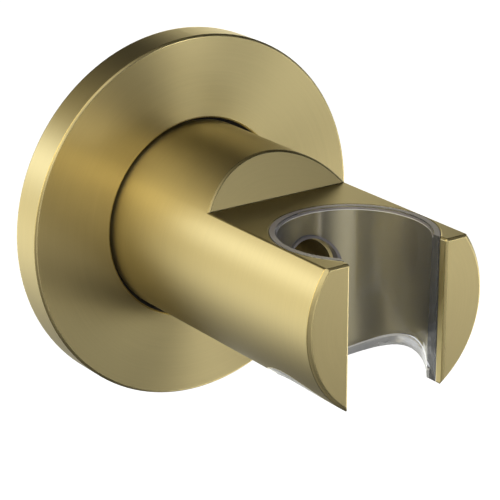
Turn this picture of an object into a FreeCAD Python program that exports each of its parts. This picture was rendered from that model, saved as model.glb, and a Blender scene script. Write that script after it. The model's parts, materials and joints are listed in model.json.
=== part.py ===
"""Wall holder for a hand shower: a turned and milled brass bar with a cup, on a round rosette.

Frame: the origin is the centre of the rosette's back face, on the wall. +Z is up, the wall's room side
is -Y, and +X is to the right for someone who faces the wall. Sizes are in millimetres and degrees.
"""
import FreeCAD, Part
import os

import Sketcher

OUT_FOLDER = "parts"

SIZES = [
    # Holder body: a round bar, milled flat over its front half
    ("body_radius", 15.9, "outside of the bar"),
    ("body_reach", 57.4, "wall to the front face"),
    ("body_front_edge", 0.5, "chamfer round the front face"),
    ("body_rear_edge", 0.4, "chamfer round the rear face"),
    ("flat_height", 9.45, "milled flat above the bar's axis"),
    ("step_flat", 6.5, "flat from the foot of the step to the cup"),
    ("step_lean", 28.4, "lean of the step's face towards the wall"),
    ("arm_edge", 0.3, "chamfer on the arms' straight edges"),
    ("step_edge", 0.25, "chamfer round the step's crown"),
    ("long_edge", 0.13, "chamfer on the flat's long edges"),
    ("mouth_edge", 0.12, "chamfer round the cup's mouth"),
    ("cup_land", 0.037, "flat left beside the cup, between the two edges there"),
    ("cup_break", 2.1, "how far the cup's circle runs past the front face"),
    ("slot_width", 17.4, "opening for the hose"),
    ("access_play", 0.35, "way in for the screw and its key, round the screw's head"),
    ("shoulder", 5.0, "metal from the boss's socket to the washers"),
    # Clear liner of the cup
    ("liner_clearance", 0.05, "liner to bore"),
    ("liner_mouth_wall", 1.15, "wall at the top of the tapered seat"),
    ("liner_land_wall", 1.4, "wall of the straight lower part of the seat"),
    ("liner_land_top", -6.0, "height where the taper ends, from the bar's axis"),
    ("liner_hole_rim", 0.4, "hole in front of the screw's way in, round that way"),
    ("liner_edge", 0.3, "chamfer on the mouth"),
    # Rosette
    ("rosette_radius", 30.0, "outside"),
    ("rosette_thickness", 5.75, "wall to the face"),
    ("rosette_edge", 0.3, "chamfer round the face"),
    ("rosette_bore_edge", 0.2, "chamfer round the bore"),
    ("rosette_gap", 0.55, "bore to bar"),
    ("rosette_lip", 0.65, "metal in front of the ring's groove"),
    ("recess_wall", 1.05, "metal from the gasket's groove to the recess"),
    ("plate_rim_gap", 0.6, "recess to wall plate, across"),
    ("plate_face_gap", 0.3, "recess to wall plate, in depth"),
    # Seals
    ("ring_radius", 0.75, "section of the rubber ring round the bar"),
    ("ring_grip_gap", 0.02, "rubber ring to bar"),
    ("ring_lip", 0.6, "metal behind the ring's groove"),
    ("ring_groove_play", 0.1, "groove to ring, each side"),
    ("gasket_rim", 0.9, "rosette's outside to the wall gasket"),
    ("gasket_width", 1.4, "wall gasket"),
    ("gasket_depth", 0.8, "groove of the wall gasket"),
    ("gasket_play", 0.05, "groove to gasket, each side"),
    # Wall plate
    ("plate_edge", 0.3, "chamfer round the disc"),
    ("boss_radius", 6.0, "threaded boss"),
    ("boss_height", 8.0, "boss above the disc"),
    ("boss_edge", 0.6, "lead-in chamfer"),
    ("wall_screw_radius", 2.4, "clearance hole"),
    ("wall_screw_land", 0.5, "straight part of the hole behind the countersink"),
    ("wall_screw_rim", 0.8, "countersink to the disc's chamfer"),
    ("boss_play", 0.1, "socket in the bar to boss, round it"),
    ("boss_end_gap", 0.5, "socket in the bar to boss, at its end"),
    # Pins that keep the cup upright
    ("pin_radius", 1.5, "dowel pin"),
    ("pin_length", 8.0, "dowel pin"),
    ("pin_rim", 3.9, "metal from the pin to the outside of the bar"),
    ("pin_edge", 0.3, "chamfer at both ends"),
    ("pin_depth", 0.2, "back end behind the plate's rear face"),
    ("pin_play", 0.05, "hole in the bar to pin"),
    ("pin_end_gap", 0.5, "end of the hole in the bar to pin"),
    # Clamping screw and its washers
    ("screw_radius", 2.5, "shank"),
    ("screw_length", 16.0, "below the head"),
    ("screw_play", 0.05, "threaded bore to shank"),
    ("screw_way", 0.3, "hole through the shoulder to shank"),
    ("screw_point", 0.5, "chamfer at the tip"),
    ("head_radius", 4.25, "cap head"),
    ("head_height", 5.0, "cap head"),
    ("head_edge", 0.4, "chamfer on the head"),
    ("key_across", 4.0, "hexagon socket, across its flats"),
    ("key_depth", 2.5, "hexagon socket"),
    ("washer_rim_play", 0.2, "plain washer to the bar, round it"),
    ("washer_bore_play", 0.15, "plain washer to the screw's shank"),
    ("washer_thickness", 1.0, "plain washer"),
    ("spring_washer_rim_play", 0.4, "spring washer to the bar, round it"),
    ("spring_washer_bore_play", 0.1, "spring washer to the screw's shank"),
    ("spring_washer_thickness", 1.6, "spring washer"),
    ("spring_washer_split", 0.8, "gap between its ends"),
    ("spring_washer_slant", 25.0, "angle of the gap"),
    # How far a cutting shape runs past what it cuts
    ("overrun", 2.0, "cutting shapes past the metal"),
]

doc = FreeCAD.newDocument("HandShowerHolder")
sheet = doc.addObject("Spreadsheet::Sheet", "Sizes")
for row, (alias, value, meaning) in enumerate(SIZES, start=1):
    sheet.set(f"A{row}", alias)
    sheet.set(f"B{row}", str(value))
    sheet.set(f"C{row}", meaning)
    sheet.setAlias(f"B{row}", alias)
doc.recompute()

# Sizes and places that follow from the sheet, each as an expression on it. Front is -Y.
PLATE_THICKNESS = ("(Sizes.rosette_thickness - Sizes.rosette_lip - Sizes.ring_lip - Sizes.plate_face_gap"
                   " - 2 * (Sizes.ring_radius + Sizes.ring_groove_play))")
GASKET_INNER = "(Sizes.rosette_radius - Sizes.gasket_rim - Sizes.gasket_width)"
PLATE_RADIUS = f"({GASKET_INNER} - Sizes.gasket_play - Sizes.recess_wall - Sizes.plate_rim_gap)"
SCREW_SINK = f"({PLATE_THICKNESS} - Sizes.wall_screw_land)"
WALL_SCREW_X = (f"({PLATE_RADIUS} - Sizes.plate_edge - Sizes.wall_screw_rim"
                f" - {SCREW_SINK} - Sizes.wall_screw_radius)")
PLATE_FACE = f"-{PLATE_THICKNESS}"
BOSS_END = f"-({PLATE_THICKNESS} + Sizes.boss_height)"
SOCKET_END = f"{BOSS_END} - Sizes.boss_end_gap"
SEAT = f"{SOCKET_END} - Sizes.shoulder"
UNDER_HEAD = f"{SEAT} - Sizes.washer_thickness - Sizes.spring_washer_thickness"
PIN_HEIGHT = "(Sizes.body_radius - Sizes.pin_rim - Sizes.pin_radius)"
FRONT_FACE = "-Sizes.body_reach"
CUP_RADIUS = ("(sqrt(Sizes.body_radius ^ 2 - Sizes.flat_height ^ 2)"
              " - Sizes.long_edge - Sizes.cup_land - Sizes.mouth_edge)")
CUP_REACH = f"(Sizes.body_reach + Sizes.cup_break - {CUP_RADIUS})"
STEP_REACH = f"({CUP_REACH} - {CUP_RADIUS} - Sizes.step_flat)"
ACCESS_RADIUS = "(Sizes.head_radius + Sizes.access_play)"
LINER_OUTER = f"({CUP_RADIUS} - Sizes.liner_clearance)"
LINER_MOUTH = f"({LINER_OUTER} - Sizes.liner_mouth_wall)"
LINER_LAND = f"({LINER_OUTER} - Sizes.liner_land_wall)"


def size(alias):
    """The value of one size on the sheet."""
    return getattr(sheet, alias)


def new_body(label):
    body = doc.addObject("PartDesign::Body", label)
    body.Label = label
    return body


def sketch_on(body, role, name):
    """An empty sketch on one of the body's own origin planes."""
    plane = next(f for f in body.Origin.OriginFeatures if f.Role == role)
    sketch = body.newObject("Sketcher::SketchObject", name)
    sketch.AttachmentSupport = [(plane, "")]
    sketch.MapMode = "FlatFace"
    return sketch


def bind(sketch, constraint, expression):
    """Adds a driving dimension that follows the sheet."""
    index = sketch.addConstraint(constraint)
    sketch.setExpression(f"Constraints[{index}]", expression)


def outline(sketch, corners):
    """A closed run of straight lines. Each corner is a pair of expressions, across and up."""
    points = [FreeCAD.Vector(*(sketch.evalExpression(e) for e in c), 0) for c in corners]
    first = sketch.GeometryCount
    for here, there in zip(points, points[1:] + points[:1]):
        sketch.addGeometry(Part.LineSegment(here, there), False)
    for i, (corner, point) in enumerate(zip(corners, points)):
        line, following = first + i, first + (i + 1) % len(points)
        sketch.addConstraint(Sketcher.Constraint("Coincident", line, 2, following, 1))
        bind(sketch, Sketcher.Constraint("DistanceX", line, 1, point.x), corner[0])
        bind(sketch, Sketcher.Constraint("DistanceY", line, 1, point.y), corner[1])


def circle(sketch, across, up, radius):
    """A circle whose centre and radius are expressions."""
    x, y, r = (sketch.evalExpression(e) for e in (across, up, radius))
    shape = Part.Circle(FreeCAD.Vector(x, y, 0), FreeCAD.Vector(0, 0, 1), r)
    ring = sketch.addGeometry(shape, False)
    bind(sketch, Sketcher.Constraint("DistanceX", ring, 3, x), across)
    bind(sketch, Sketcher.Constraint("DistanceY", ring, 3, y), up)
    bind(sketch, Sketcher.Constraint("Radius", ring, r), radius)


def turned(body, corners):
    """Turns a half section about the Y axis. Corners are (Y, radius)."""
    sketch = sketch_on(body, "YZ_Plane", "Section")
    outline(sketch, corners)
    lathe = body.newObject("PartDesign::Revolution", "Turned")
    lathe.Profile = sketch
    lathe.ReferenceAxis = (sketch, ["H_Axis"])
    lathe.Angle = 360
    sketch.Visibility = False
    doc.recompute()
    return lathe


def pocket_through(body, sketch, name):
    """Cuts the sketch's outline both ways through the whole body."""
    pocket = body.newObject("PartDesign::Pocket", name)
    pocket.Profile = sketch
    pocket.Type = "ThroughAll"
    pocket.SideType = "Symmetric"
    doc.recompute()
    return pocket


def pocket_forwards(body, sketch, name, depth):
    """Cuts from a sketch on the XZ plane towards -Y, to a depth given as an expression."""
    pocket = body.newObject("PartDesign::Pocket", name)
    pocket.Profile = sketch
    pocket.Reversed = True
    pocket.setExpression("Length", depth)
    doc.recompute()
    return pocket


def dressed(body, kind, name, base, wanted, size_expression):
    """Rounds (Fillet) or breaks (Chamfer) the edges of a feature that answer to wanted(edge)."""
    edges = [f"Edge{i}" for i, e in enumerate(base.Shape.Edges, start=1) if wanted(e)]
    feature = body.newObject("PartDesign::" + kind, name)
    feature.Base = (base, edges)
    feature.setExpression("Radius" if kind == "Fillet" else "Size", size_expression)
    doc.recompute()
    return feature


def spans(edge, axis):
    """Lowest and highest coordinate of an edge along X, Y or Z."""
    box = edge.BoundBox
    return getattr(box, axis + "Min"), getattr(box, axis + "Max")


def lies_at(edge, axis, value, slack=0.02):
    """Whether a whole edge lies in the plane where the coordinate is value."""
    low, high = spans(edge, axis)
    return abs(low - value) < slack and abs(high - value) < slack


def make_holder_body():
    """Turned bar, milled flat behind a leaning step, bored for the cup and slotted for the hose."""
    body = new_body("holder_body")
    turned(body, [
        (PLATE_FACE, "0"),
        (PLATE_FACE, "Sizes.body_radius - Sizes.body_rear_edge"),
        (PLATE_FACE + " - Sizes.body_rear_edge", "Sizes.body_radius"),
        (FRONT_FACE + " + Sizes.body_front_edge", "Sizes.body_radius"),
        (FRONT_FACE, "Sizes.body_radius - Sizes.body_front_edge"),
        (FRONT_FACE, "0"),
    ])
    front = -size("body_reach")

    above = "Sizes.body_radius + Sizes.overrun"
    ahead = FRONT_FACE + " - Sizes.overrun"
    lean = f"({above} - Sizes.flat_height) * tan(Sizes.step_lean * 1 deg)"
    side = sketch_on(body, "YZ_Plane", "FlatAndStep")
    outline(side, [
        ("-" + STEP_REACH, "Sizes.flat_height"),
        (f"-{STEP_REACH} + {lean}", above),
        (ahead, above),
        (ahead, "Sizes.flat_height"),
    ])
    milled = pocket_through(body, side, "MilledFlat")
    flat = size("flat_height")

    def step_crown(edge):
        low, high = spans(edge, "Z")
        return abs(low - flat) < 0.1 and abs(high - size("body_radius")) < 0.1

    dressed(body, "Chamfer", "StepCrown", milled, step_crown, "Sizes.step_edge")

    plan = sketch_on(body, "XY_Plane", "CupOutline")
    circle(plan, "0", "-" + CUP_REACH, CUP_RADIUS)
    pocket_through(body, plan, "CupBore")

    mouth = sketch_on(body, "YZ_Plane", "MouthOutline")
    mouth.setExpression(".AttachmentOffset.Base.x", "-" + CUP_REACH)
    outline(mouth, [
        ("0", "Sizes.flat_height - Sizes.mouth_edge"),
        (CUP_RADIUS, "Sizes.flat_height - Sizes.mouth_edge"),
        (CUP_RADIUS + " + Sizes.mouth_edge + Sizes.overrun", "Sizes.flat_height + Sizes.overrun"),
        ("0", "Sizes.flat_height + Sizes.overrun"),
    ])
    sink = body.newObject("PartDesign::Groove", "CupMouth")
    sink.Profile = mouth
    sink.ReferenceAxis = (mouth, ["V_Axis"])
    sink.Angle = 360
    doc.recompute()

    gap = sketch_on(body, "XY_Plane", "SlotOutline")
    outline(gap, [
        ("-Sizes.slot_width / 2", "-" + CUP_REACH),
        ("Sizes.slot_width / 2", "-" + CUP_REACH),
        ("Sizes.slot_width / 2", ahead),
        ("-Sizes.slot_width / 2", ahead),
    ])
    pocket_through(body, gap, "HoseSlot")

    way = sketch_on(body, "YZ_Plane", "ScrewWay")
    outline(way, [
        ("-" + CUP_REACH, "0"),
        ("-" + CUP_REACH, ACCESS_RADIUS),
        (SEAT, ACCESS_RADIUS),
        (SEAT, "Sizes.screw_radius + Sizes.screw_way"),
        (SOCKET_END, "Sizes.screw_radius + Sizes.screw_way"),
        (SOCKET_END, "Sizes.boss_radius + Sizes.boss_play"),
        ("0", "Sizes.boss_radius + Sizes.boss_play"),
        ("0", "0"),
    ])
    bore = body.newObject("PartDesign::Groove", "ScrewBore")
    bore.Profile = way
    bore.ReferenceAxis = (way, ["H_Axis"])
    bore.Angle = 360
    doc.recompute()

    holes = sketch_on(body, "XZ_Plane", "PinHoles")
    for sign in ("-", ""):
        circle(holes, "0", sign + PIN_HEIGHT, "Sizes.pin_radius + Sizes.pin_play")
    drilled = pocket_forwards(body, holes, "DrilledPinHoles",
                              "Sizes.pin_depth + Sizes.pin_length + Sizes.pin_end_gap")

    half_slot = size("slot_width") / 2

    def arm_edge(edge):
        straight = isinstance(edge.Curve, Part.Line)
        at_slot = any(lies_at(edge, "X", side) for side in (-half_slot, half_slot))
        return straight and (lies_at(edge, "Y", front) or at_slot and lies_at(edge, "Z", flat))

    def long_edge(edge):
        left, right = spans(edge, "X")
        outside = min(abs(left), abs(right)) > half_slot + size("arm_edge") + 0.1
        return lies_at(edge, "Z", flat) and outside and right - left < 0.1

    arms = dressed(body, "Chamfer", "ArmEdges", drilled, arm_edge, "Sizes.arm_edge")
    dressed(body, "Chamfer", "LongEdges", arms, long_edge, "Sizes.long_edge")
    return body


def primitive(kind, name, **expressions):
    """A Part primitive whose properties follow the sheet. Dots in a property are written as two underscores."""
    shape = doc.addObject("Part::" + kind, name)
    for prop, expression in expressions.items():
        shape.setExpression(prop.replace("__", "."), expression)
    return shape


def boolean(kind, name, base, tool):
    joined = doc.addObject("Part::" + kind, name)
    joined.Base, joined.Tool = base, tool
    return joined


def make_cup_liner():
    """Clear sleeve with a tapered seat, trimmed flush with the flat, the slot and the bar's underside."""
    axis = {"Placement__Base__y": "-" + CUP_REACH}
    below = "-(Sizes.body_radius + Sizes.overrun)"
    land = "Sizes.liner_land_top"
    sleeve = primitive(
        "Cylinder", "LinerSleeve",
        Radius=LINER_OUTER,
        Height=f"Sizes.flat_height - ({below})",
        Placement__Base__z=below, **axis)
    straight = primitive(
        "Cylinder", "LinerLand",
        Radius=LINER_LAND,
        Height=f"{land} - ({below})",
        Placement__Base__z=below, **axis)
    taper = primitive(
        "Cone", "LinerTaper",
        Radius1=LINER_LAND,
        Radius2=LINER_MOUTH,
        Height=f"Sizes.flat_height - {land}",
        Placement__Base__z=land, **axis)
    mouth = primitive(
        "Cone", "LinerMouth",
        Radius1=LINER_MOUTH,
        Radius2=LINER_MOUTH + " + Sizes.liner_edge",
        Height="Sizes.liner_edge",
        Placement__Base__z="Sizes.flat_height - Sizes.liner_edge", **axis)
    slot = primitive(
        "Box", "LinerSlot",
        Length="Sizes.slot_width",
        Width=CUP_RADIUS + " + Sizes.overrun",
        Height="2 * (Sizes.body_radius + Sizes.overrun)",
        Placement__Base__x="-Sizes.slot_width / 2",
        Placement__Base__y=f"-({CUP_REACH} + {CUP_RADIUS} + Sizes.overrun)",
        Placement__Base__z=below)
    access = primitive(
        "Cylinder", "LinerAccess",
        Radius=ACCESS_RADIUS + " + Sizes.liner_hole_rim",
        Height=CUP_RADIUS,
        Placement__Base__y=f"-({CUP_REACH} - {CUP_RADIUS}) + Sizes.overrun")
    access.Placement.Rotation = FreeCAD.Rotation(FreeCAD.Vector(1, 0, 0), 90)
    envelope = primitive(
        "Cylinder", "LinerEnvelope",
        Radius="Sizes.body_radius",
        Height="Sizes.body_reach")
    envelope.Placement.Rotation = FreeCAD.Rotation(FreeCAD.Vector(1, 0, 0), 90)

    cutters = doc.addObject("Part::MultiFuse", "LinerCutters")
    cutters.Shapes = [straight, taper, mouth, slot, access]
    bored = boolean("Cut", "LinerBored", sleeve, cutters)
    liner = boolean("Common", "cup_liner", bored, envelope)
    liner.Label = "cup_liner"
    return liner


def make_rosette():
    """Turned cover disc with a recess for the wall plate and grooves for both seals."""
    body = new_body("rosette")
    bore = "Sizes.body_radius + Sizes.rosette_gap"
    web = PLATE_FACE + " - Sizes.plate_face_gap"
    groove_back = f"{web} - Sizes.ring_lip"
    groove_front = f"{groove_back} - 2 * (Sizes.ring_radius + Sizes.ring_groove_play)"
    groove_floor = "Sizes.body_radius + Sizes.ring_grip_gap + 2 * Sizes.ring_radius"
    gasket_in = GASKET_INNER + " - Sizes.gasket_play"
    gasket_out = GASKET_INNER + " + Sizes.gasket_width + Sizes.gasket_play"
    recess = PLATE_RADIUS + " + Sizes.plate_rim_gap"
    face = "-Sizes.rosette_thickness"
    turned(body, [
        ("0", recess),
        ("0", gasket_in),
        ("-Sizes.gasket_depth", gasket_in),
        ("-Sizes.gasket_depth", gasket_out),
        ("0", gasket_out),
        ("0", "Sizes.rosette_radius"),
        (face + " + Sizes.rosette_edge", "Sizes.rosette_radius"),
        (face, "Sizes.rosette_radius - Sizes.rosette_edge"),
        (face, bore + " + Sizes.rosette_bore_edge"),
        (face + " + Sizes.rosette_bore_edge", bore),
        (groove_front, bore),
        (groove_front, groove_floor),
        (groove_back, groove_floor),
        (groove_back, bore),
        (web, bore),
        (web, recess),
    ])
    return body


def make_bar_ring():
    """Rubber ring in the rosette's bore, which grips the bar and holds the rosette to the wall.

    Its section is an octagon, as wide and as high as the round section that it stands for.
    """
    body = new_body("bar_ring")
    middle = (PLATE_FACE + " - Sizes.plate_face_gap - Sizes.ring_lip"
              " - Sizes.ring_groove_play - Sizes.ring_radius")
    centre = "Sizes.body_radius + Sizes.ring_grip_gap + Sizes.ring_radius"
    corner = "Sizes.ring_radius / cos(22.5 deg)"
    turned(body, [
        (f"{middle} + {corner} * cos({angle} deg)", f"{centre} + {corner} * sin({angle} deg)")
        for angle in (22.5, 67.5, 112.5, 157.5, 202.5, 247.5, 292.5, 337.5)
    ])
    return body


def make_wall_gasket():
    """Flat foam ring that seals the rosette's rim to the wall."""
    body = new_body("wall_gasket")
    outer = GASKET_INNER + " + Sizes.gasket_width"
    depth = "-(Sizes.gasket_depth - Sizes.gasket_play)"
    turned(body, [
        ("0", GASKET_INNER),
        ("0", outer),
        (depth, outer),
        (depth, GASKET_INNER),
    ])
    return body


def make_wall_plate():
    """Disc with a threaded boss, two countersunk wall screw holes and two pin holes."""
    body = new_body("wall_plate")
    thread = "Sizes.screw_radius + Sizes.screw_play"
    turned(body, [
        ("0", thread),
        ("0", PLATE_RADIUS),
        (PLATE_FACE + " + Sizes.plate_edge", PLATE_RADIUS),
        (PLATE_FACE, PLATE_RADIUS + " - Sizes.plate_edge"),
        (PLATE_FACE, "Sizes.boss_radius"),
        (BOSS_END + " + Sizes.boss_edge", "Sizes.boss_radius"),
        (BOSS_END, "Sizes.boss_radius - Sizes.boss_edge"),
        (BOSS_END, thread),
    ])
    holes = sketch_on(body, "XZ_Plane", "WallScrewHoles")
    for sign in ("-", ""):
        circle(holes, sign + WALL_SCREW_X, "0", "Sizes.wall_screw_radius")
        circle(holes, "0", sign + PIN_HEIGHT, "Sizes.pin_radius")
    drilled = pocket_through(body, holes, "DrilledPlate")
    face = holes.evalExpression(PLATE_FACE)

    def screw_mouth(edge):
        round_edge = isinstance(edge.Curve, Part.Circle)
        beside = round_edge and abs(edge.Curve.Center.x) > size("boss_radius")
        return beside and lies_at(edge, "Y", face)

    dressed(body, "Chamfer", "Countersinks", drilled, screw_mouth, SCREW_SINK)
    return body


def make_dowel_pin(label, height):
    """Hardened pin between wall plate and bar, above or below the screw."""
    body = new_body(label)
    turned(body, [
        ("0", "0"),
        ("0", "Sizes.pin_radius - Sizes.pin_edge"),
        ("-Sizes.pin_edge", "Sizes.pin_radius"),
        ("-(Sizes.pin_length - Sizes.pin_edge)", "Sizes.pin_radius"),
        ("-Sizes.pin_length", "Sizes.pin_radius - Sizes.pin_edge"),
        ("-Sizes.pin_length", "0"),
    ])
    body.setExpression("Placement.Base.y", "-Sizes.pin_depth")
    body.setExpression("Placement.Base.z", height)
    return body


def make_clamp_screw():
    """Cap screw with a hexagon socket. Its own origin is under the head, and the tip points at the wall."""
    body = new_body("clamp_screw")
    turned(body, [
        ("-Sizes.head_height", "0"),
        ("-Sizes.head_height", "Sizes.head_radius - Sizes.head_edge"),
        ("-(Sizes.head_height - Sizes.head_edge)", "Sizes.head_radius"),
        ("0", "Sizes.head_radius"),
        ("0", "Sizes.screw_radius"),
        ("Sizes.screw_length - Sizes.screw_point", "Sizes.screw_radius"),
        ("Sizes.screw_length", "Sizes.screw_radius - Sizes.screw_point"),
        ("Sizes.screw_length", "0"),
    ])
    socket = sketch_on(body, "XZ_Plane", "KeySocket")
    corner = "Sizes.key_across / sqrt(3)"
    outline(socket, [
        (f"{corner} * cos({60 * k} deg)", f"{corner} * sin({60 * k} deg)") for k in range(6)
    ])
    socket.setExpression(".AttachmentOffset.Base.z", "Sizes.head_height")
    pocket = body.newObject("PartDesign::Pocket", "DrivenSocket")
    pocket.Profile = socket
    pocket.setExpression("Length", "Sizes.key_depth")
    body.setExpression("Placement.Base.y", UNDER_HEAD)
    doc.recompute()
    return body


def make_plain_washer():
    """Flat washer on the shoulder inside the bar."""
    body = new_body("plain_washer")
    inner = "Sizes.screw_radius + Sizes.washer_bore_play"
    outer = ACCESS_RADIUS + " - Sizes.washer_rim_play"
    turned(body, [
        ("0", inner),
        ("0", outer),
        ("-Sizes.washer_thickness", outer),
        ("-Sizes.washer_thickness", inner),
    ])
    body.setExpression("Placement.Base.y", SEAT)
    return body


def make_spring_washer():
    """Split washer, drawn flat, with a slanted gap between its ends."""
    body = new_body("spring_washer")
    inner = "Sizes.screw_radius + Sizes.spring_washer_bore_play"
    outer = ACCESS_RADIUS + " - Sizes.spring_washer_rim_play"
    turned(body, [
        ("0", inner),
        ("0", outer),
        ("-Sizes.spring_washer_thickness", outer),
        ("-Sizes.spring_washer_thickness", inner),
    ])
    gap = sketch_on(body, "XY_Plane", "SplitOutline")
    shift = "Sizes.spring_washer_thickness * tan(Sizes.spring_washer_slant * 1 deg) / 2"
    half = "Sizes.spring_washer_split / 2"
    outline(gap, [
        (f"-{shift} - {half}", "0"),
        (f"-{shift} + {half}", "0"),
        (f"{shift} + {half}", "-Sizes.spring_washer_thickness"),
        (f"{shift} - {half}", "-Sizes.spring_washer_thickness"),
    ])
    split = body.newObject("PartDesign::Pocket", "Split")
    split.Profile = gap
    split.Type = "ThroughAll"
    split.Reversed = True
    body.setExpression("Placement.Base.y", f"{SEAT} - Sizes.washer_thickness")
    doc.recompute()
    return body


pieces = [
    make_holder_body(),
    make_cup_liner(),
    make_rosette(),
    make_bar_ring(),
    make_wall_gasket(),
    make_wall_plate(),
    make_dowel_pin("upper_dowel_pin", PIN_HEIGHT),
    make_dowel_pin("lower_dowel_pin", "-" + PIN_HEIGHT),
    make_clamp_screw(),
    make_plain_washer(),
    make_spring_washer(),
]
doc.recompute()

for item in doc.Objects:
    if "Invalid" in item.State or "Error" in item.State:
        raise RuntimeError(f"{item.Name} didn't recompute: {item.State}")
for piece in pieces:
    if piece.Shape.isNull() or not piece.Shape.isValid() or not piece.Shape.Solids:
        raise RuntimeError(f"{piece.Label} has no valid solid")

os.makedirs(OUT_FOLDER, exist_ok=True)
for piece in pieces:
    piece.Shape.exportStep(os.path.join(OUT_FOLDER, piece.Label + ".step"))
    box = piece.Shape.BoundBox
    print(f"{piece.Label}: {piece.Shape.Volume:.1f} mm3, Y {box.YMin:.2f} to {box.YMax:.2f}")
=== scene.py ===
"""Looks of a brushed brass wall holder for a hand shower.

Every length is in metres. The wall is the plane y = 0, the room lies towards -Y, +Z is up, and the bar's
axis is the Y axis.
"""
import json
import math

import bmesh
import bpy
from bpy.props import FloatProperty, FloatVectorProperty, PointerProperty
from mathutils import Matrix, Vector


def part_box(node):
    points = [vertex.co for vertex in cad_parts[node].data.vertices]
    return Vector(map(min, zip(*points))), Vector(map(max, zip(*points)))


bl_info = {
    "name": "Hand Shower Holder",
    "version": (1, 0, 0),
    "blender": (4, 5, 0),
    "location": "View3D > Sidebar > Shower Holder",
    "description": "Brushed brass, clear liner, seals and fixings of a wall holder for a hand shower",
    "category": "Object",
}

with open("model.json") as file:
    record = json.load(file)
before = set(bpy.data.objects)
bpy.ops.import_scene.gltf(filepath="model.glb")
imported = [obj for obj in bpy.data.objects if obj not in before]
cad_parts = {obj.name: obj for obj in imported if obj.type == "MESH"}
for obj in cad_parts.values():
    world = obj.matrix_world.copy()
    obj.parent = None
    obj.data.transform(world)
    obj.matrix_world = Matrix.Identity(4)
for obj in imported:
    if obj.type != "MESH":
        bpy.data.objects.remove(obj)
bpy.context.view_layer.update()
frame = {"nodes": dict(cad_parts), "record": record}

MM = 0.001
MOUNTS = {mount["name"]: mount for mount in frame["record"]["mounts"]}
CUP_AXIS_Y = MOUNTS["hand_shower_seat"]["pos_m"][1]
CUP_MIDDLE = (0, CUP_AXIS_Y, 0)
SEAT_RADIUS = MOUNTS["hand_shower_seat"]["dims"]["r_mm"] * MM
BAR_LOW, BAR_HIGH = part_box("holder_body")
LINER_LOW, LINER_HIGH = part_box("cup_liner")
CUP_RADIUS = (LINER_HIGH[0] - LINER_LOW[0]) / 2
FLAT_Z = LINER_HIGH[2]
SLOT_HALF = 8.7 * MM
# The millings in front of the step lie beyond this distance from the wall.
MILLED_FROM = 15 * MM
# How far a finish reaches past the surface that it belongs to.
MARGIN = 0.1 * MM
# Cosines of how far an edge bends where its polish starts and where it is full.
POLISH_START = 0.998
POLISH_FULL = 0.96


class BrassSettings(bpy.types.PropertyGroup):
    """Finish of the bar and the rosette."""
    colour: FloatVectorProperty(
        name="Colour", description="Colour of the brushed brass", subtype="COLOR", size=3,
        default=(0.70, 0.585, 0.285), min=0, max=1)
    tint_change: FloatProperty(
        name="Tint change", description="How far the brush lines lighten or darken the colour", default=0.07,
        min=0, max=1)
    roughness: FloatProperty(
        name="Roughness", description="Middle roughness of the brushing", default=0.33, min=0, max=1)
    roughness_change: FloatProperty(
        name="Roughness change", description="How far the brush lines raise or lower the roughness",
        default=0.03, min=0, max=1)
    anisotropy: FloatProperty(
        name="Anisotropy", description="How far the brushing draws a highlight out", default=0.9,
        min=0, max=1)
    line_width: FloatProperty(
        name="Line width", description="Spacing of the coarsest brush lines", default=0.3 * MM, min=0.01 * MM,
        unit="LENGTH")
    line_depth: FloatProperty(
        name="Line depth", description="Depth of the brush lines in the bump", default=0.003 * MM,
        min=0, unit="LENGTH")
    edge_radius: FloatProperty(
        name="Edge radius", description="How far the polishing has rounded each edge", default=0.25 * MM,
        min=0, unit="LENGTH")
    edge_polish: FloatProperty(
        name="Edge polish", description="How much smoother than the faces the rounded edges are",
        default=0.2, min=0, max=1)


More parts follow.
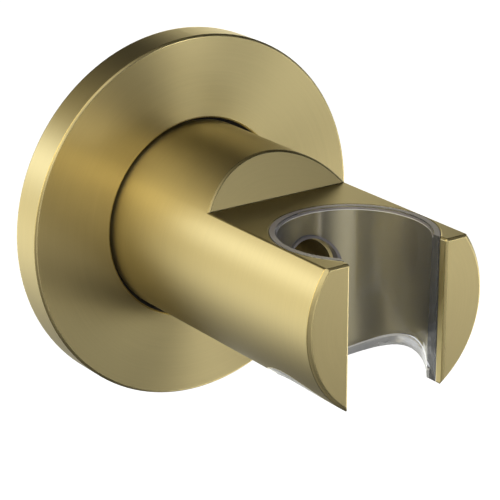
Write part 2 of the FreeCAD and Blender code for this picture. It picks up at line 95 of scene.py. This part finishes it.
class LinerSettings(bpy.types.PropertyGroup):
    """Clear plastic of the cup liner."""
    colour: FloatVectorProperty(
        name="Colour", description="Tint of the clear plastic", subtype="COLOR", size=3,
        default=(0.86, 0.88, 0.91), min=0, max=1)
    # The matt rim and the ring round the hole are tinted dark violet-grey and let little light through. This
    # is painted shade that stands in for dim reflections and the dark bore seen through the clear plastic.
    rim_painted_shade: FloatVectorProperty(
        name="Rim colour", description="Tint of the matt rim", subtype="COLOR", size=3,
        default=(0.36, 0.34, 0.37), min=0, max=1)
    # The thin pale lines below the rim and above the matt lower edge are painted highlights. They are
    # near-white and nearly opaque, and stand in for light caught on the moulded edges.
    painted_highlight_colour: FloatVectorProperty(
        name="Line colour", description="Tint of the thin pale lines", subtype="COLOR", size=3,
        default=(0.95, 0.95, 0.93), min=0, max=1)
    index: FloatProperty(
        name="Index of refraction", description="Clear plastic is about 1.5", default=1.5, min=1, max=2)
    roughness: FloatProperty(
        name="Roughness", description="Moulded gloss", default=0.04, min=0, max=1)
    matt_roughness: FloatProperty(
        name="Matt roughness", description="Rim, ring round the hole and lower edge", default=0.25,
        min=0, max=1)
    wall_clearness: FloatProperty(
        name="Wall clearness", description="Share of light that the polished walls let through",
        default=0.92, min=0, max=1)
    rim_clearness: FloatProperty(
        name="Rim clearness", description="Share of light that the matt rim lets through",
        default=0.35, min=0, max=1)
    end_clearness: FloatProperty(
        name="End clearness", description="Share of light that the cut ends beside the slot let through",
        default=0.97, min=0, max=1)
    foot_clearness: FloatProperty(
        name="Foot clearness", description="Share of light that the matt lower edge lets through",
        default=0.45, min=0, max=1)
    painted_highlight_clearness: FloatProperty(
        name="Line clearness", description="Share of light that the pale lines let through",
        default=0.05, min=0, max=1)
    rim_drop: FloatProperty(
        name="Rim drop", description="How far the matt rim runs down inside the cup", default=0.4 * MM,
        min=0, unit="LENGTH")
    rim_painted_highlight: FloatProperty(
        name="Rim line", description="Width of the pale line below the rim", default=0.12 * MM, min=0,
        unit="LENGTH")
    foot_start: FloatProperty(
        name="Foot start", description="Distance from the bar's axis where the matt lower edge starts",
        default=14.85 * MM, min=0, unit="LENGTH")
    foot_painted_highlight: FloatProperty(
        name="Foot line", description="Width of the pale line above the matt lower edge",
        default=0.25 * MM, min=0, unit="LENGTH")
    hole_radius: FloatProperty(
        name="Hole radius", description="Hole for the screw at the back", default=5.0 * MM, min=0,
        unit="LENGTH")
    hole_border: FloatProperty(
        name="Hole border", description="Width of the matt ring round the hole", default=0.4 * MM, min=0,
        unit="LENGTH")
    edge_radius: FloatProperty(
        name="Edge radius", description="Rounding of the moulded edges", default=0.15 * MM, min=0,
        unit="LENGTH")


class HiddenSettings(bpy.types.PropertyGroup):
    """Colours of the seals and the fixings, which are hidden in the holder."""
    rubber_colour: FloatVectorProperty(
        name="Rubber colour", description="Ring that grips the bar", subtype="COLOR", size=3,
        default=(0.012, 0.012, 0.012), min=0, max=1)
    foam_colour: FloatVectorProperty(
        name="Foam colour", description="Gasket against the wall", subtype="COLOR", size=3,
        default=(0.06, 0.06, 0.065), min=0, max=1)
    plate_colour: FloatVectorProperty(
        name="Plate colour", description="Raw brass of the wall plate", subtype="COLOR", size=3,
        default=(0.75, 0.56, 0.27), min=0, max=1)
    steel_colour: FloatVectorProperty(
        name="Steel colour", description="Screw, washers and pins", subtype="COLOR", size=3,
        default=(0.55, 0.55, 0.56), min=0, max=1)


class StudioSettings(bpy.types.PropertyGroup):
    """Camera, floor and light."""
    azimuth: FloatProperty(
        name="Azimuth", description="Camera's turn from the front", default=math.radians(-35.08),
        subtype="ANGLE")
    elevation: FloatProperty(
        name="Elevation", description="Camera's height angle", default=math.radians(19.98),
        subtype="ANGLE")
    distance: FloatProperty(
        name="Distance", description="Camera to the plane of its target", default=360.8 * MM,
        unit="LENGTH")
    lens: FloatProperty(name="Lens", description="Focal length in millimetres", default=159.1)
    target_across: FloatProperty(
        name="Target across", description="Aim point, right of the origin in the view",
        default=11.81 * MM, unit="LENGTH")
    target_up: FloatProperty(
        name="Target up", description="Aim point, above the origin in the view",
        default=-6.94 * MM, unit="LENGTH")
    floor_drop: FloatProperty(
        name="Floor drop", description="Floor below the bar's axis", default=0.7, unit="LENGTH")
    floor_half: FloatProperty(
        name="Floor half width", description="Half the width of the floor", default=6.0, unit="LENGTH")
    floor_colour: FloatVectorProperty(
        name="Floor colour", description="Pale floor", subtype="COLOR", size=3, default=(0.8, 0.8, 0.8),
        min=0, max=1)
    floor_glow: FloatProperty(
        name="Floor glow", description="Makes the floor white where it is seen or mirrored", default=0.6,
        min=0)
    world_light: FloatProperty(
        name="World light", description="Strength of the world's own light on the object", default=0.6,
        min=0)
    tent_radius: FloatProperty(
        name="Tent radius", description="Light tent round the object", default=0.6, unit="LENGTH")


# Soft glows on the cloth of the light tent: azimuth and elevation of the middle, half width and half height,
# all in degrees, then the colour times its strength. Azimuth is 0 along +X and 90 into the wall.
# A separate program fitted these numbers and TENT_BASE to the photo's tones and printed them rounded. Only
# the strengths of "left" and the rows "front left" and "front left, small" were set one by one.
GLOWS = {
    "wall": (89, -18, 51, 20, (1.95, 1.96, 1.87)),
    "left": (172, 29, 21, 29, (2.5, 2.22, 1.5)),
    "front left": (-115, -3, 20, 36, (1.1, 1.09, 1.07)),
    "front left, small": (-138, 24, 9, 11, (1.8, 1.77, 1.7)),
    "front left, high": (-132, 57, 27, 13, (0.97, 0.97, 1.01)),
    "behind left": (123, 13, 14, 10, (1.94, 2.16, 2.66)),
    "behind right": (55, 0, 9, 21, (2.16, 2.04, 1.50)),
    "right": (-17, -20, 12, 10, (4.48, 4.47, 4.46)),
    "front right": (-41, -5, 10, 9, (3.08, 3.12, 3.14)),
    "front right, low": (-31, -48, 10, 12, (4.50, 4.50, 4.50)),
    "front": (-59, 10, 5, 8, (4.50, 4.50, 4.50)),
    "front, low": (-72, -12, 5, 9, (2.48, 2.35, 2.10)),
}
TENT_BASE = (0.0, 0.0, 0.002)


def new_material(name):
    """An empty material with a Principled shader on its output."""
    material = bpy.data.materials.new(name)
    material.use_nodes = True
    tree = material.node_tree
    tree.nodes.clear()
    output = tree.nodes.new("ShaderNodeOutputMaterial")
    shader = tree.nodes.new("ShaderNodeBsdfPrincipled")
    tree.links.new(shader.outputs["BSDF"], output.inputs["Surface"])
    return material, tree, shader


def add(tree, kind, inputs=None, **settings):
    """Adds a node, sets its properties, and sets or links its inputs by name or number."""
    made = tree.nodes.new(kind)
    for key, value in settings.items():
        setattr(made, key, value)
    for key, value in (inputs or {}).items():
        if isinstance(value, bpy.types.NodeSocket):
            tree.links.new(value, made.inputs[key])
        else:
            made.inputs[key].default_value = value
    return made


def maths(tree, operation, first, second=0.0):
    """One scalar operation. Each operand is a number or a socket."""
    return add(tree, "ShaderNodeMath", {0: first, 1: second}, operation=operation).outputs[0]


def vector_maths(tree, operation, first, second=(0, 0, 0)):
    """One vector operation whose result is a vector."""
    return add(tree, "ShaderNodeVectorMath", {0: first, 1: second}, operation=operation).outputs["Vector"]


def dot(tree, first, second):
    """The dot product of two vectors."""
    return add(tree, "ShaderNodeVectorMath", {0: first, 1: second}, operation="DOT_PRODUCT").outputs["Value"]


def length(tree, vector):
    """The length of a vector."""
    return add(tree, "ShaderNodeVectorMath", {0: vector}, operation="LENGTH").outputs["Value"]


def scaled(tree, vector, factor):
    """A vector or colour times a number."""
    made = add(tree, "ShaderNodeVectorMath", {0: vector, "Scale": factor}, operation="SCALE")
    return made.outputs["Vector"]


def spread(tree, value, low, high):
    """Brings a 0 to 1 value to the range low to high."""
    return add(tree, "ShaderNodeMapRange", {"Value": value, "To Min": low, "To Max": high}).outputs[0]


def below(tree, value, limit):
    """1 where a value is below the limit, else 0."""
    return maths(tree, "LESS_THAN", value, limit)


def above(tree, value, limit):
    """1 where a value is above the limit, else 0."""
    return maths(tree, "GREATER_THAN", value, limit)


def both(tree, first, second):
    """1 where both masks are 1."""
    return maths(tree, "MULTIPLY", first, second)


def either(tree, first, second):
    """1 where one of the masks is 1."""
    return maths(tree, "MAXIMUM", first, second)


def outside(tree, mask):
    """1 where the mask is 0."""
    return maths(tree, "SUBTRACT", 1.0, mask)


def choose(tree, switch, off, on):
    """The vector off where switch is 0, and on where it is 1."""
    return add(tree, "ShaderNodeMix", {0: switch, 4: off, 5: on}, data_type="VECTOR").outputs[1]


def choose_value(tree, switch, off, on):
    """The number off where switch is 0, and on where it is 1."""
    return add(tree, "ShaderNodeMix", {0: switch, 2: off, 3: on}, data_type="FLOAT").outputs[0]


def dress(node_name, material):
    """Gives a carried-over node its finish."""
    piece = frame["nodes"][node_name]
    piece.data.materials.clear()
    piece.data.materials.append(material)


def facing(tree):
    """The three parts of the direction that the surface faces."""
    return add(tree, "ShaderNodeSeparateXYZ", {0: add(tree, "ShaderNodeNewGeometry").outputs["True Normal"]})


def bar_coordinates(tree):
    """Place, its parts, and the direction and distance from the bar's axis."""
    place = add(tree, "ShaderNodeTexCoord").outputs["Object"]
    parts = add(tree, "ShaderNodeSeparateXYZ", {0: place})
    across = add(tree, "ShaderNodeCombineXYZ", {"X": parts.outputs["X"], "Z": parts.outputs["Z"]}).outputs[0]
    return place, parts, vector_maths(tree, "NORMALIZE", across), length(tree, across)


def cup_coordinates(tree, place):
    """Level direction and distance from the cup's own axis, which stands upright."""
    from_cup = vector_maths(tree, "SUBTRACT", place, CUP_MIDDLE)
    level = vector_maths(tree, "MULTIPLY", from_cup, (1, 1, 0))
    return vector_maths(tree, "NORMALIZE", level), length(tree, level)


def brush_direction(tree, parts, round_bar, round_cup, in_cup):
    """The way the brush went over each surface: round the bar, round the cup, or straight."""
    faced = facing(tree)
    on_step_or_front = both(
        tree,
        below(tree, faced.outputs["Y"], -0.5),
        below(tree, parts.outputs["Y"], -MILLED_FROM))
    on_flat = both(
        tree,
        above(tree, faced.outputs["Z"], 0.99),
        below(tree, parts.outputs["Z"], FLAT_Z + MARGIN))
    outside_cup = outside(tree, in_cup)
    milled = both(tree, outside_cup, either(tree, on_step_or_front, on_flat))
    on_front = below(tree, parts.outputs["Y"], BAR_LOW[1] + 3 * MARGIN)
    straight = choose(tree, on_front, (1, 0, 0), (0, 0, 1))
    along = choose(tree, milled, choose(tree, in_cup, round_bar, round_cup), straight)
    beside_slot = both(
        tree,
        below(tree, maths(tree, "ABSOLUTE", parts.outputs["X"]), SLOT_HALF + MARGIN),
        below(tree, parts.outputs["Y"], CUP_AXIS_Y))
    return choose(tree, both(tree, beside_slot, outside_cup), along, (0, 1, 0))


def brass_material(settings):
    """Turned and brushed brass, whose lines follow how each surface was cut."""
    material, tree, shader = new_material("brushed_brass_looks")
    place, parts, from_bar, bar_distance = bar_coordinates(tree)
    from_cup, cup_distance = cup_coordinates(tree, place)
    in_cup = below(tree, cup_distance, CUP_RADIUS + 2 * MARGIN)

    # Lines lie across the bar's axis on turned surfaces, and level in the cup.
    turned_lines = maths(
        tree, "DIVIDE", maths(tree, "ADD", bar_distance, parts.outputs["Y"]), settings.line_width)
    cup_lines = maths(tree, "DIVIDE", parts.outputs["Z"], settings.line_width)
    brushing = add(
        tree, "ShaderNodeTexNoise",
        {"Vector": from_bar, "W": choose_value(tree, in_cup, turned_lines, cup_lines), "Scale": 1.5,
         "Detail": 4.0, "Roughness": 0.7},
        noise_dimensions="4D").outputs["Fac"]
    clouds = add(
        tree, "ShaderNodeTexNoise",
        {"Vector": place, "Scale": 60.0, "Detail": 3.0, "Roughness": 0.55}).outputs["Fac"]
    line_shade = spread(tree, brushing, 1 - settings.tint_change, 1 + settings.tint_change)
    shade = maths(tree, "MULTIPLY", line_shade, spread(tree, clouds, 0.985, 1.015))
    tree.links.new(scaled(tree, tuple(settings.colour), shade), shader.inputs["Base Color"])

    # The edges were polished when they were broken, so they shine more than the brushed faces.
    rounded = add(tree, "ShaderNodeBevel", {"Radius": settings.edge_radius}, samples=8).outputs["Normal"]
    unbent = add(tree, "ShaderNodeNewGeometry").outputs["Normal"]
    polished = add(
        tree, "ShaderNodeMapRange",
        {"Value": dot(tree, rounded, unbent), "From Min": POLISH_START, "From Max": POLISH_FULL,
         "To Min": 0.0, "To Max": settings.edge_polish}).outputs[0]
    rough = spread(
        tree, brushing, settings.roughness - settings.roughness_change,
        settings.roughness + settings.roughness_change)
    tree.links.new(maths(tree, "SUBTRACT", rough, polished), shader.inputs["Roughness"])
    bump = add(
        tree, "ShaderNodeBump",
        {"Strength": 1.0, "Distance": settings.line_depth, "Height": brushing, "Normal": rounded})
    tree.links.new(bump.outputs["Normal"], shader.inputs["Normal"])

    # A highlight is drawn out across the brush lines.
    round_bar = vector_maths(tree, "CROSS_PRODUCT", from_bar, (0, 1, 0))
    round_cup = vector_maths(tree, "CROSS_PRODUCT", from_cup, (0, 0, 1))
    along = brush_direction(tree, parts, round_bar, round_cup, in_cup)
    surface = add(tree, "ShaderNodeTexCoord").outputs["Normal"]
    tangent = vector_maths(tree, "CROSS_PRODUCT", surface, along)
    world_tangent = add(
        tree, "ShaderNodeVectorTransform", {0: tangent}, vector_type="VECTOR",
        convert_from="OBJECT", convert_to="WORLD").outputs[0]
    tree.links.new(world_tangent, shader.inputs["Tangent"])
    shader.inputs["Metallic"].default_value = 1.0
    shader.inputs["Anisotropic"].default_value = settings.anisotropy
    return material


def liner_zones(tree, settings):
    """Masks of the matt rim, the cut ends, the matt foot and the thin painted highlights, and the place."""
    place, parts, _, bar_distance = bar_coordinates(tree)
    _, cup_distance = cup_coordinates(tree, place)
    height = parts.outputs["Z"]
    in_front = below(tree, parts.outputs["Y"], CUP_AXIS_Y)
    on_wall = below(tree, cup_distance, SEAT_RADIUS + 4 * MARGIN)

    top = above(tree, facing(tree).outputs["Z"], 0.9)
    rim_low = FLAT_Z - settings.rim_drop
    below_top = both(tree, on_wall, above(tree, height, rim_low))
    # A thin band just below the matt rim is a painted highlight.
    to_rim_painted_highlight = both(tree, on_wall, above(tree, height, rim_low - settings.rim_painted_highlight))
    rim_painted_highlight = maths(tree, "SUBTRACT", to_rim_painted_highlight, below_top)
    by_hole = below(tree, bar_distance, settings.hole_radius + settings.hole_border)
    hole = both(tree, by_hole, outside(tree, in_front))
    rim = either(tree, either(tree, top, below_top), hole)

    low_wall = both(tree, on_wall, below(tree, height, 0.0))
    foot = both(tree, low_wall, above(tree, bar_distance, settings.foot_start))
    # A thin band just above the matt lower edge is a painted highlight.
    to_foot_painted_highlight = both(tree, low_wall, above(tree, bar_distance, settings.foot_start - settings.foot_painted_highlight))
    foot_painted_highlight = maths(tree, "SUBTRACT", to_foot_painted_highlight, foot)
    painted_highlight = maths(tree, "ADD", foot_painted_highlight, rim_painted_highlight)

    beside_slot = below(tree, maths(tree, "ABSOLUTE", parts.outputs["X"]), SLOT_HALF + MARGIN)
    end = both(tree, both(tree, in_front, beside_slot), outside(tree, rim))
    return rim, end, foot, painted_highlight, place


def liner_material(settings):
    """Clear moulded plastic with a matt rim and foot."""
    material, tree, shader = new_material("clear_plastic_looks")
    rim, end, foot, painted_highlight, place = liner_zones(tree, settings)

    ripple = add(tree, "ShaderNodeTexNoise", {"Vector": place, "Scale": 150.0, "Detail": 2.0}).outputs["Fac"]
    polish = spread(tree, either(tree, rim, foot), settings.roughness, settings.matt_roughness)
    rough = maths(tree, "MULTIPLY", polish, spread(tree, ripple, 0.7, 1.3))
    tree.links.new(rough, shader.inputs["Roughness"])

    clearness = spread(tree, rim, settings.wall_clearness, settings.rim_clearness)
    clearness = choose_value(tree, end, clearness, settings.end_clearness)
    clearness = choose_value(tree, foot, clearness, settings.foot_clearness)
    clearness = choose_value(tree, painted_highlight, clearness, settings.painted_highlight_clearness)
    tree.links.new(clearness, shader.inputs["Transmission Weight"])

    # The dark tint on the rim and round the hole is painted shade in place of dim reflections and the bore
    # seen through it.
    tint = choose(tree, rim, tuple(settings.colour), tuple(settings.rim_painted_shade))
    # The near-white, nearly opaque lines are painted highlights.
    tint = choose(tree, painted_highlight, tint, tuple(settings.painted_highlight_colour))
    tree.links.new(tint, shader.inputs["Base Color"])
    rounded = add(tree, "ShaderNodeBevel", {"Radius": settings.edge_radius}, samples=8)
    tree.links.new(rounded.outputs["Normal"], shader.inputs["Normal"])
    shader.inputs["IOR"].default_value = settings.index
    return material


def plain_material(name, colour, metallic, roughness, grain):
    """A mottled finish for the hidden pieces."""
    material, tree, shader = new_material(name)
    place = add(tree, "ShaderNodeTexCoord").outputs["Object"]
    mottle = add(tree, "ShaderNodeTexNoise", {"Vector": place, "Scale": grain, "Detail": 4.0}).outputs["Fac"]
    shade = spread(tree, mottle, 0.9, 1.1)
    tree.links.new(scaled(tree, tuple(colour), shade), shader.inputs["Base Color"])
    rough = spread(tree, mottle, roughness - 0.06, roughness + 0.06)
    tree.links.new(rough, shader.inputs["Roughness"])
    shader.inputs["Metallic"].default_value = metallic
    return material


class SHOWER_OT_brass(bpy.types.Operator):
    """Brush the bar and the rosette"""
    bl_idname = "shower_holder.brass"
    bl_label = "Brushed brass"

    def execute(self, context):
        material = brass_material(context.scene.shower_brass)
        dress("holder_body", material)
        dress("rosette", material)
        return {"FINISHED"}


class SHOWER_OT_liner(bpy.types.Operator):
    """Make the cup's liner clear"""
    bl_idname = "shower_holder.liner"
    bl_label = "Clear liner"

    def execute(self, context):
        dress("cup_liner", liner_material(context.scene.shower_liner))
        return {"FINISHED"}


class SHOWER_OT_seals(bpy.types.Operator):
    """Give the rubber ring and the foam gasket their finish"""
    bl_idname = "shower_holder.seals"
    bl_label = "Seals"

    def execute(self, context):
        hidden = context.scene.shower_hidden
        dress("bar_ring", plain_material("black_rubber_looks", hidden.rubber_colour, 0.0, 0.6, 2500))
        dress("wall_gasket", plain_material("grey_foam_looks", hidden.foam_colour, 0.0, 0.85, 4000))
        return {"FINISHED"}


class SHOWER_OT_fixings(bpy.types.Operator):
    """Give the wall plate, the screw, the washers and the pins their finish"""
    bl_idname = "shower_holder.fixings"
    bl_label = "Fixings"

    def execute(self, context):
        hidden = context.scene.shower_hidden
        dress("wall_plate", plain_material("raw_brass_looks", hidden.plate_colour, 1.0, 0.35, 900))
        steel = plain_material("stainless_looks", hidden.steel_colour, 1.0, 0.3, 1500)
        for name in ("clamp_screw", "plain_washer", "spring_washer", "upper_dowel_pin", "lower_dowel_pin"):
            dress(name, steel)
        return {"FINISHED"}


def white_behind(tree, other_strength, seen_strength):
    """One strength for camera, glossy and transmission rays, and another for the rest."""
    path = add(tree, "ShaderNodeLightPath")
    seen = either(tree, path.outputs["Is Camera Ray"], path.outputs["Is Glossy Ray"])
    seen = either(tree, seen, path.outputs["Is Transmission Ray"])
    return spread(tree, seen, other_strength, seen_strength)


def glow(tree, towards, azimuth, elevation, half_width, half_height):
    """How much of a soft round glow lies in a direction: 1 in its middle, fading to 0 outside."""
    middle = Vector((math.cos(azimuth) * math.cos(elevation), math.sin(azimuth) * math.cos(elevation),
                     math.sin(elevation)))
    across = Vector((-math.sin(azimuth), math.cos(azimuth), 0))
    upward = middle.cross(across)
    x = dot(tree, towards, across / half_width)
    y = dot(tree, towards, upward / half_height)
    square = maths(tree, "ADD", maths(tree, "MULTIPLY", x, x), maths(tree, "MULTIPLY", y, y))
    ahead = above(tree, dot(tree, towards, middle), 0.0)
    return maths(tree, "MULTIPLY", ahead, maths(tree, "EXPONENT", maths(tree, "MULTIPLY", square, -1.0)))


def stage_piece(context, shape, name):
    """Turns a bmesh into an object of the given name, linked to the scene."""
    mesh = bpy.data.meshes.new(name)
    shape.to_mesh(mesh)
    shape.free()
    piece = bpy.data.objects.new(name, mesh)
    context.scene.collection.objects.link(piece)
    return piece


class SHOWER_OT_studio(bpy.types.Operator):
    """Set up the floor, the light and the camera"""
    bl_idname = "shower_holder.studio"
    bl_label = "Studio"

    def execute(self, context):
        settings = context.scene.shower_studio
        self.world(context.scene, settings)
        self.floor(context, settings)
        self.tent(context, settings)
        self.camera(context, settings)
        context.scene.view_settings.view_transform = "Standard"
        return {"FINISHED"}

    def world(self, scene, settings):
        """A pale world, which shows as white behind the object and in what it reflects."""
        world = bpy.data.worlds.new("white_studio")
        world.use_nodes = True
        tree = world.node_tree
        tree.nodes.clear()
        output = tree.nodes.new("ShaderNodeOutputWorld")
        behind = white_behind(tree, settings.world_light, 1.0)
        light = add(tree, "ShaderNodeBackground", {"Color": (1, 1, 1, 1), "Strength": behind})
        tree.links.new(light.outputs[0], output.inputs["Surface"])
        scene.world = world

    def floor(self, context, settings):
        """A pale floor, which the camera sees as white with the object's shadow on it."""
        shape = bmesh.new()
        bmesh.ops.create_grid(shape, x_segments=1, y_segments=1, size=settings.floor_half)
        bmesh.ops.translate(shape, verts=shape.verts, vec=(0, 0, -settings.floor_drop))
        floor = stage_piece(context, shape, "studio_floor")
        material, tree, shader = new_material("studio_floor")
        shader.inputs["Base Color"].default_value = (*settings.floor_colour, 1)
        shader.inputs["Roughness"].default_value = 0.9
        shader.inputs["Emission Color"].default_value = (1, 1, 1, 1)
        tree.links.new(white_behind(tree, 0.0, settings.floor_glow), shader.inputs["Emission Strength"])
        floor.data.materials.append(material)

    def tent(self, context, settings):
        """A tent of cloth with soft glows, which the object reflects and the camera doesn't see."""
        shape = bmesh.new()
        middle = Vector((0, (BAR_LOW[1] + BAR_HIGH[1]) / 2, 0))
        bmesh.ops.create_icosphere(
            shape, subdivisions=4, radius=settings.tent_radius, matrix=Matrix.Translation(middle))
        tent = stage_piece(context, shape, "studio_tent")
        tent.visible_camera = False
        tent.visible_shadow = False
        tent.data.materials.append(self.cloth(middle))

    def cloth(self, middle):
        """Cloth that lights the object and is clear to rays that have only passed through plastic."""
        material = bpy.data.materials.new("studio_tent")
        material.use_nodes = True
        tree = material.node_tree
        tree.nodes.clear()
        place = add(tree, "ShaderNodeTexCoord").outputs["Object"]
        towards = vector_maths(tree, "NORMALIZE", vector_maths(tree, "SUBTRACT", place, tuple(middle)))
        light = TENT_BASE
        for azimuth, elevation, half_width, half_height, colour in GLOWS.values():
            amount = glow(tree, towards, math.radians(azimuth), math.radians(elevation),
                          math.radians(half_width), math.radians(half_height))
            light = vector_maths(tree, "ADD", light, scaled(tree, colour, amount))
        glowing = add(tree, "ShaderNodeEmission", {"Color": light, "Strength": 1.0})
        path = add(tree, "ShaderNodeLightPath")
        turns = maths(tree, "SUBTRACT", path.outputs["Ray Depth"], path.outputs["Transmission Depth"])
        lit = above(tree, turns, 0.5)
        clear = add(tree, "ShaderNodeBsdfTransparent")
        mixed = add(tree, "ShaderNodeMixShader", {0: lit, 1: clear.outputs[0], 2: glowing.outputs[0]})
        output = tree.nodes.new("ShaderNodeOutputMaterial")
        tree.links.new(mixed.outputs[0], output.inputs["Surface"])
        return material

    def camera(self, context, settings):
        """A camera that looks at the holder from the front left and from above."""
        turn, lift = settings.azimuth, settings.elevation
        back = Vector((math.sin(turn) * math.cos(lift), -math.cos(turn) * math.cos(lift), math.sin(lift)))
        right = (-back).cross(Vector((0, 0, 1))).normalized()
        up = right.cross(-back)
        place = settings.target_across * right + settings.target_up * up + settings.distance * back
        data = bpy.data.cameras.new("photo_view")
        data.lens = settings.lens
        data.clip_start = 10 * MM
        camera = bpy.data.objects.new("photo_view", data)
        context.scene.collection.objects.link(camera)
        turned = Matrix((right, up, back)).transposed().to_4x4()
        camera.matrix_world = Matrix.Translation(place) @ turned
        context.scene.camera = camera


class SHOWER_PT_panel(bpy.types.Panel):
    """Lists the steps that dress the holder and set up the studio"""
    bl_idname = "SHOWER_PT_panel"
    bl_label = "Hand Shower Holder"
    bl_space_type = "VIEW_3D"
    bl_region_type = "UI"
    bl_category = "Shower Holder"

    def draw(self, context):
        for operator in OPERATORS:
            self.layout.operator(operator.bl_idname)


GROUPS = {
    "shower_brass": BrassSettings,
    "shower_liner": LinerSettings,
    "shower_hidden": HiddenSettings,
    "shower_studio": StudioSettings,
}
OPERATORS = (SHOWER_OT_brass, SHOWER_OT_liner, SHOWER_OT_seals, SHOWER_OT_fixings, SHOWER_OT_studio)


def register():
    for group in GROUPS.values():
        bpy.utils.register_class(group)
    for name, group in GROUPS.items():
        setattr(bpy.types.Scene, name, PointerProperty(type=group))
    for operator in OPERATORS:
        bpy.utils.register_class(operator)
    bpy.utils.register_class(SHOWER_PT_panel)


def unregister():
    bpy.utils.unregister_class(SHOWER_PT_panel)
    for operator in reversed(OPERATORS):
        bpy.utils.unregister_class(operator)
    for name, group in GROUPS.items():
        delattr(bpy.types.Scene, name)
        bpy.utils.unregister_class(group)


def main():
    register()
    bpy.ops.shower_holder.brass()
    bpy.ops.shower_holder.liner()
    bpy.ops.shower_holder.seals()
    bpy.ops.shower_holder.fixings()
    bpy.ops.shower_holder.studio()


if __name__ == "__main__":
    main()
